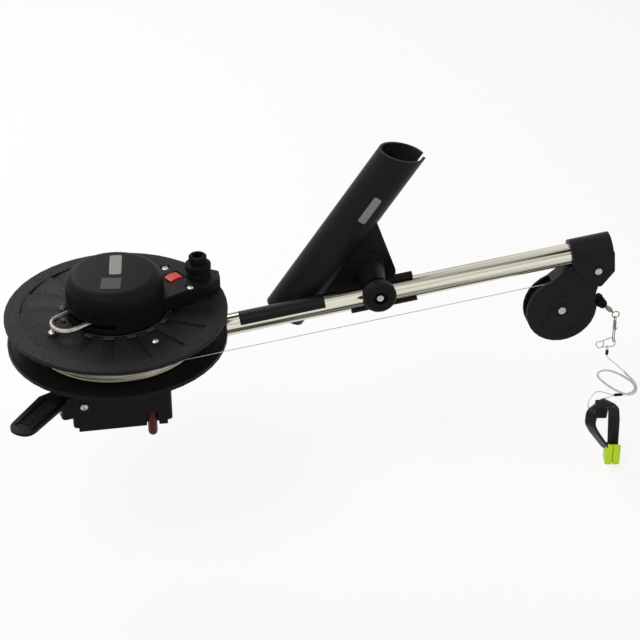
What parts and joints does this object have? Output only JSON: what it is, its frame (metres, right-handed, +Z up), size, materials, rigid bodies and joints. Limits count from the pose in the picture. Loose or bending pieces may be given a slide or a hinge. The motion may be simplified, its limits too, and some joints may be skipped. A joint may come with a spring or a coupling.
{
  "type": "downrigger",
  "caption": "Electric downrigger with a horizontal cable spool, motor and arm on top, steel boom, rod holder, pulley head and a line release on its cable.",
  "frame": {"origin": "on the foot plate's underside, on the spool's axis", "axes": "+Z up along the spool's axis, +X out along the boom, +Y towards the rod holder"},
  "size_m": [0.765, 0.2512, 0.4531],
  "materials": {
    "black_plastic": "satin",
    "black_rubber": "matte",
    "stainless": "satin",
    "boom_steel": "polished",
    "cable_steel": "satin",
    "red_plastic": "satin",
    "dark_red_plastic": "gloss",
    "brass_wire": "satin",
    "sleeve_plastic": "satin",
    "lime_rubber": "matte"
  },
  "bodies": {
    "frame": {"foot_plate": "black_plastic", "base_housing": "black_plastic", "spindle": "stainless", "thrust_washer": "stainless", "motor_base": "black_plastic", "spindle_nut": "stainless", "motor_cover": "black_plastic", "motor": "stainless", "arm_nose": "black_plastic", "power_socket": "black_rubber", "arm_screw_1": "stainless", "arm_screw_2": "stainless", "base_screw_front": "stainless", "base_screw_rear": "stainless", "boom_tube": "boom_steel", "clamp_upper": "black_plastic", "clamp_lower": "black_plastic", "clamp_bolt": "stainless", "end_cap": "black_plastic", "cap_bolt": "stainless", "pulley_housing_near": "black_plastic", "pulley_housing_far": "black_plastic", "pulley_axle": "stainless", "cable_run": "cable_steel", "cable_stop": "black_rubber", "swivel": "brass_wire", "lever_pin": "stainless"},
    "spool": {"spool_body": "black_plastic", "spool_upper_flange": "black_plastic", "flange_screw_1": "stainless", "flange_screw_2": "stainless", "flange_screw_3": "stainless", "flange_screw_4": "stainless", "lower_bearing": "stainless", "upper_bearing": "stainless", "drive_gear": "stainless", "cable_inner_layers": "cable_steel", "cable_outer_layer": "cable_steel"},
    "pinion": {"motor_pinion": "stainless"},
    "brake": {"brake_ring": "black_plastic", "brake_lever": "stainless"},
    "switch": {"up_switch": "red_plastic"},
    "wheel": {"pulley_wheel": "black_plastic"},
    "holder": {"rod_holder": "black_plastic"},
    "knob": {"clamp_knob": "black_plastic"},
    "latch": {"latch_lever": "black_plastic"},
    "pin": {"lock_pin": "dark_red_plastic"},
    "ring": {"swivel_ring": "brass_wire"},
    "tackle": {"snap_link": "brass_wire", "leader_clip": "brass_wire", "leader_eye": "cable_steel", "leader_crimp": "black_plastic", "leader_wire": "cable_steel", "leader_sleeve": "sleeve_plastic", "bridle_crimp": "black_plastic", "release_bridle": "cable_steel", "release_strap": "black_plastic", "release_block": "black_rubber", "release_pad_left": "lime_rubber", "release_pad_right": "lime_rubber"}
  },
  "joints": [
    {"name": "spool_spin", "type": "hinge", "parent": "frame", "child": "spool", "pos_m": [0, 0, 0.108], "axis": [0, 0, 1], "continuous": true},
    {"name": "pinion_spin", "type": "hinge", "parent": "frame", "child": "pinion", "pos_m": [0, 0.03, 0.131], "axis": [0, 0, 1], "continuous": true},
    {"name": "wheel_spin", "type": "hinge", "parent": "frame", "child": "wheel", "pos_m": [0.5285, 0.028, 0.05829], "axis": [0, 1, 0], "continuous": true},
    {"name": "brake_swing", "type": "hinge", "parent": "frame", "child": "brake", "pos_m": [0, 0, 0.1388], "axis": [0, 0, 1], "range_deg": [0, 28]},
    {"name": "switch_press", "type": "slide", "parent": "frame", "child": "switch", "axis": [0, 0, -1], "range_m": [0, 0.0015], "stiffness_N_per_m": 400, "springref_m": -0.0006},
    {"name": "holder_tilt", "type": "hinge", "parent": "frame", "child": "holder", "pos_m": [0.3, 0.05, 0.1211], "axis": [0, 1, 0], "range_deg": [-25, 30]},
    {"name": "knob_turn", "type": "hinge", "parent": "frame", "child": "knob", "pos_m": [0.3, 0, 0.1211], "axis": [0, 1, 0], "continuous": true},
    {"name": "latch_swing", "type": "hinge", "parent": "frame", "child": "latch", "pos_m": [-0.0702, -0.0406, 0.048], "axis": [0, 0, 1], "range_deg": [-10, 15]},
    {"name": "pin_lift", "type": "slide", "parent": "frame", "child": "pin", "axis": [0, 0, 1], "range_m": [0, 0.015], "stiffness_N_per_m": 200, "springref_m": -0.004},
    {"name": "swivel_spin", "type": "hinge", "parent": "frame", "child": "ring", "pos_m": [0.59978, 0.028, 0.03854], "axis": [0.7193, 0, -0.6947], "continuous": true},
    {"name": "tackle_swing", "type": "hinge", "parent": "ring", "child": "tackle", "pos_m": [0.59978, 0.028, 0.0357], "axis": [0, 1, 0], "range_deg": [-30, 30]}
  ],
  "couplings": [
    {"joint": "pinion_spin", "follows": "spool_spin", "ratio": -4},
    {"joint": "wheel_spin", "follows": "spool_spin", "ratio": 2.7064}
  ]
}
